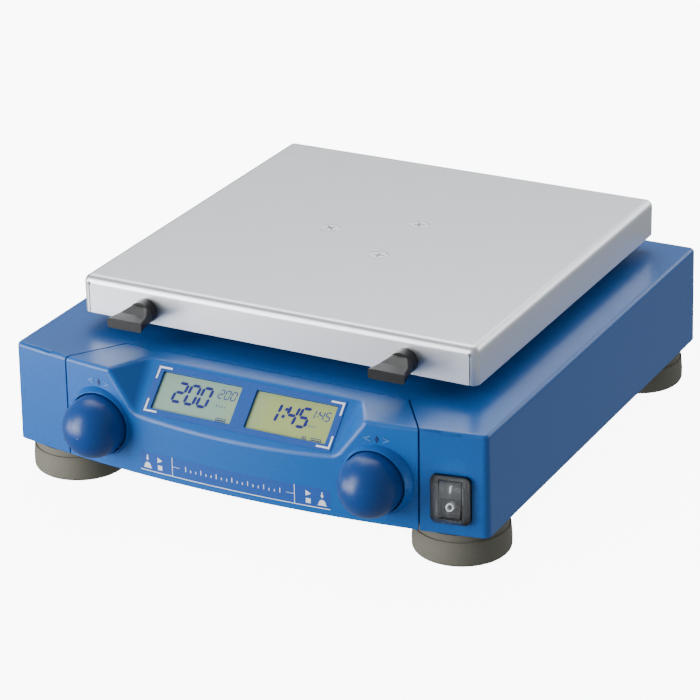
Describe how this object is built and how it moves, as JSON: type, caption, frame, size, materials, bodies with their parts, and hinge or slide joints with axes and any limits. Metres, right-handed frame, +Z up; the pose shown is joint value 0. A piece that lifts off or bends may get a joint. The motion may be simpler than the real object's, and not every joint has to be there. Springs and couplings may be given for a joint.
{
  "type": "orbital shaker",
  "caption": "Bench orbital shaker: a square tray driven in a small circle by a belt-driven crank in a low housing, with display, push-and-turn knobs and a mains switch.",
  "frame": {"origin": "on the bench, midway between the sides and midway between the knobs' noses and the back of the mains inlet", "axes": "+Z up, -Y towards the user, +X to the user's right"},
  "size_m": [0.2716, 0.3044, 0.1009],
  "materials": {
    "blue_lacquer": "gloss lacquer",
    "blue_moulding": "satin moulded",
    "knob_blue": "satin moulded",
    "label_film": "satin film",
    "display_glass": "gloss",
    "board": "solder mask",
    "black_plastic": "fine matt",
    "clear_cover": "clear",
    "foot_rubber": "matt",
    "belt_rubber": "matt",
    "tray_steel": "fine brushed",
    "steel": "machined",
    "bright_zinc": "bright zinc",
    "base_paint": "matt paint",
    "cast_alloy": "as cast",
    "cast_iron": "machined",
    "motor_paint": "satin",
    "contact_brass": "nickel plated"
  },
  "bodies": {
    "base": {"housing": "blue_lacquer", "front_panel": "blue_moulding", "display_label": "label_film", "lcd_left": "display_glass", "lcd_right": "display_glass", "display_board": "board", "control_board": "board", "supply_board": "board", "switch_body": "black_plastic", "mains_inlet": "black_plastic", "fuse_holders": "black_plastic", "encoder_left": "black_plastic", "encoder_right": "black_plastic", "switch_cover": "clear_cover", "foot_front_left": "foot_rubber", "foot_front_right": "foot_rubber", "foot_rear_left": "foot_rubber", "foot_rear_right": "foot_rubber", "drive_belt": "belt_rubber", "motor_bracket": "steel", "serial_socket": "steel", "transformer": "steel", "supply_standoffs": "steel", "foot_screws": "bright_zinc", "housing_screws": "bright_zinc", "block_screws": "bright_zinc", "main_bearings": "bright_zinc", "idler_bearings": "bright_zinc", "base_plate": "base_paint", "bearing_block": "cast_alloy", "idler_pedestal_rear": "cast_alloy", "idler_pedestal_left": "cast_alloy", "idler_pedestal_right": "cast_alloy", "motor": "motor_paint", "inlet_pins": "contact_brass"},
    "crank": {"crankshaft": "steel", "flywheel": "cast_iron", "counterweight": "steel", "counterweight_screws": "bright_zinc"},
    "platform": {"carrier": "cast_alloy", "tray": "tray_steel", "tray_screws": "bright_zinc", "arm_bearings": "bright_zinc", "pin_bearing": "bright_zinc"},
    "motor_rotor": {"motor_shaft": "steel", "motor_pulley": "cast_alloy"},
    "rocker": {"switch_rocker": "black_plastic"},
    "idler_rear": {"idler_crank_rear": "steel"},
    "idler_left": {"idler_crank_left": "steel"},
    "idler_right": {"idler_crank_right": "steel"},
    "push_left": {"plunger_left": "black_plastic"},
    "dial_left": {"knob_left": "knob_blue", "knob_shaft_left": "steel"},
    "clamp_left": {"clamp_knob_left": "black_plastic", "clamp_cam_left": "steel"},
    "push_right": {"plunger_right": "black_plastic"},
    "dial_right": {"knob_right": "knob_blue", "knob_shaft_right": "steel"},
    "clamp_right": {"clamp_knob_right": "black_plastic", "clamp_cam_right": "steel"}
  },
  "joints": [
    {"name": "drive_spin", "type": "hinge", "parent": "base", "child": "crank", "pos_m": [0, 0.0237, 0.05], "axis": [0, 0, 1], "continuous": true},
    {"name": "platform_orbit", "type": "hinge", "parent": "crank", "child": "platform", "pos_m": [0, 0.0257, 0.057], "axis": [0, 0, 1], "continuous": true},
    {"name": "motor_spin", "type": "hinge", "parent": "base", "child": "motor_rotor", "pos_m": [-0.07361, 0.0662, 0.0474], "axis": [0, 0, 1], "continuous": true},
    {"name": "idler_rear_spin", "type": "hinge", "parent": "base", "child": "idler_rear", "pos_m": [0, 0.1017, 0.0483], "axis": [0, 0, 1], "continuous": true},
    {"name": "idler_left_spin", "type": "hinge", "parent": "base", "child": "idler_left", "pos_m": [-0.06755, -0.0153, 0.0483], "axis": [0, 0, 1], "continuous": true},
    {"name": "idler_right_spin", "type": "hinge", "parent": "base", "child": "idler_right", "pos_m": [0.06755, -0.0153, 0.0483], "axis": [0, 0, 1], "continuous": true},
    {"name": "knob_left_push", "type": "slide", "parent": "base", "child": "push_left", "axis": [0, 1, 0], "range_m": [0, 0.001], "stiffness_N_per_m": 800, "springref_m": -0.001},
    {"name": "knob_left_turn", "type": "hinge", "parent": "push_left", "child": "dial_left", "pos_m": [-0.0786, -0.129, 0.042], "axis": [0, 1, 0], "continuous": true},
    {"name": "knob_right_push", "type": "slide", "parent": "base", "child": "push_right", "axis": [0, 1, 0], "range_m": [0, 0.001], "stiffness_N_per_m": 800, "springref_m": -0.001},
    {"name": "knob_right_turn", "type": "hinge", "parent": "push_right", "child": "dial_right", "pos_m": [0.0786, -0.129, 0.042], "axis": [0, 1, 0], "continuous": true},
    {"name": "switch_rock", "type": "hinge", "parent": "base", "child": "rocker", "pos_m": [0.116, -0.12094, 0.0374], "axis": [0.9857, 0.1684, 0], "range_deg": [0, 18]},
    {"name": "clamp_left_turn", "type": "hinge", "parent": "platform", "child": "clamp_left", "pos_m": [-0.0745, -0.0873, 0.088], "axis": [0, 1, 0], "range_deg": [-90, 0]},
    {"name": "clamp_right_turn", "type": "hinge", "parent": "platform", "child": "clamp_right", "pos_m": [0.0745, -0.0873, 0.088], "axis": [0, 1, 0], "range_deg": [0, 90]}
  ],
  "couplings": [
    {"joint": "platform_orbit", "follows": "drive_spin", "ratio": -1},
    {"joint": "motor_spin", "follows": "drive_spin", "ratio": 4},
    {"joint": "idler_rear_spin", "follows": "drive_spin", "ratio": 1},
    {"joint": "idler_left_spin", "follows": "drive_spin", "ratio": 1},
    {"joint": "idler_right_spin", "follows": "drive_spin", "ratio": 1}
  ]
}
